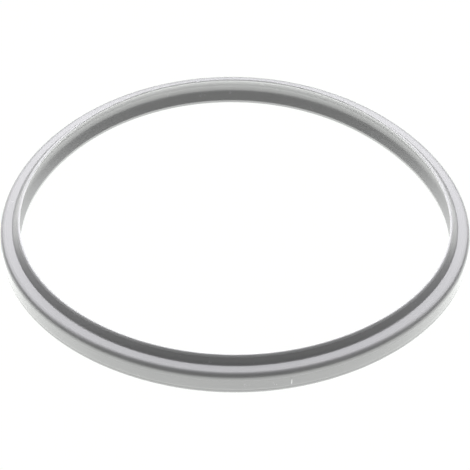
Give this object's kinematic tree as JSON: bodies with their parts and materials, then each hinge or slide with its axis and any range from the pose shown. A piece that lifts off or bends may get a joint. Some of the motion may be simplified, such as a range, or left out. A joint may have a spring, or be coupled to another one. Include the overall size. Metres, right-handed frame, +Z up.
{
  "type": "sealing ring",
  "caption": "Moulded silicone sealing ring for a stovetop pressure cooker lid: upright outer wall, flat ledge, thin raised lip and hollow inner face.",
  "frame": {"origin": "centre of the ring, on the flat face that it rests on", "axes": "+Z up the ring's own axis, from the resting face towards the raised lip; X and Y are equal, because the ring is round"},
  "size_m": [0.238, 0.238, 0.0165],
  "materials": {
    "silicone": "satin grey moulded silicone"
  },
  "bodies": {
    "root": {"sealing_ring": "silicone"}
  },
  "joints": []
}
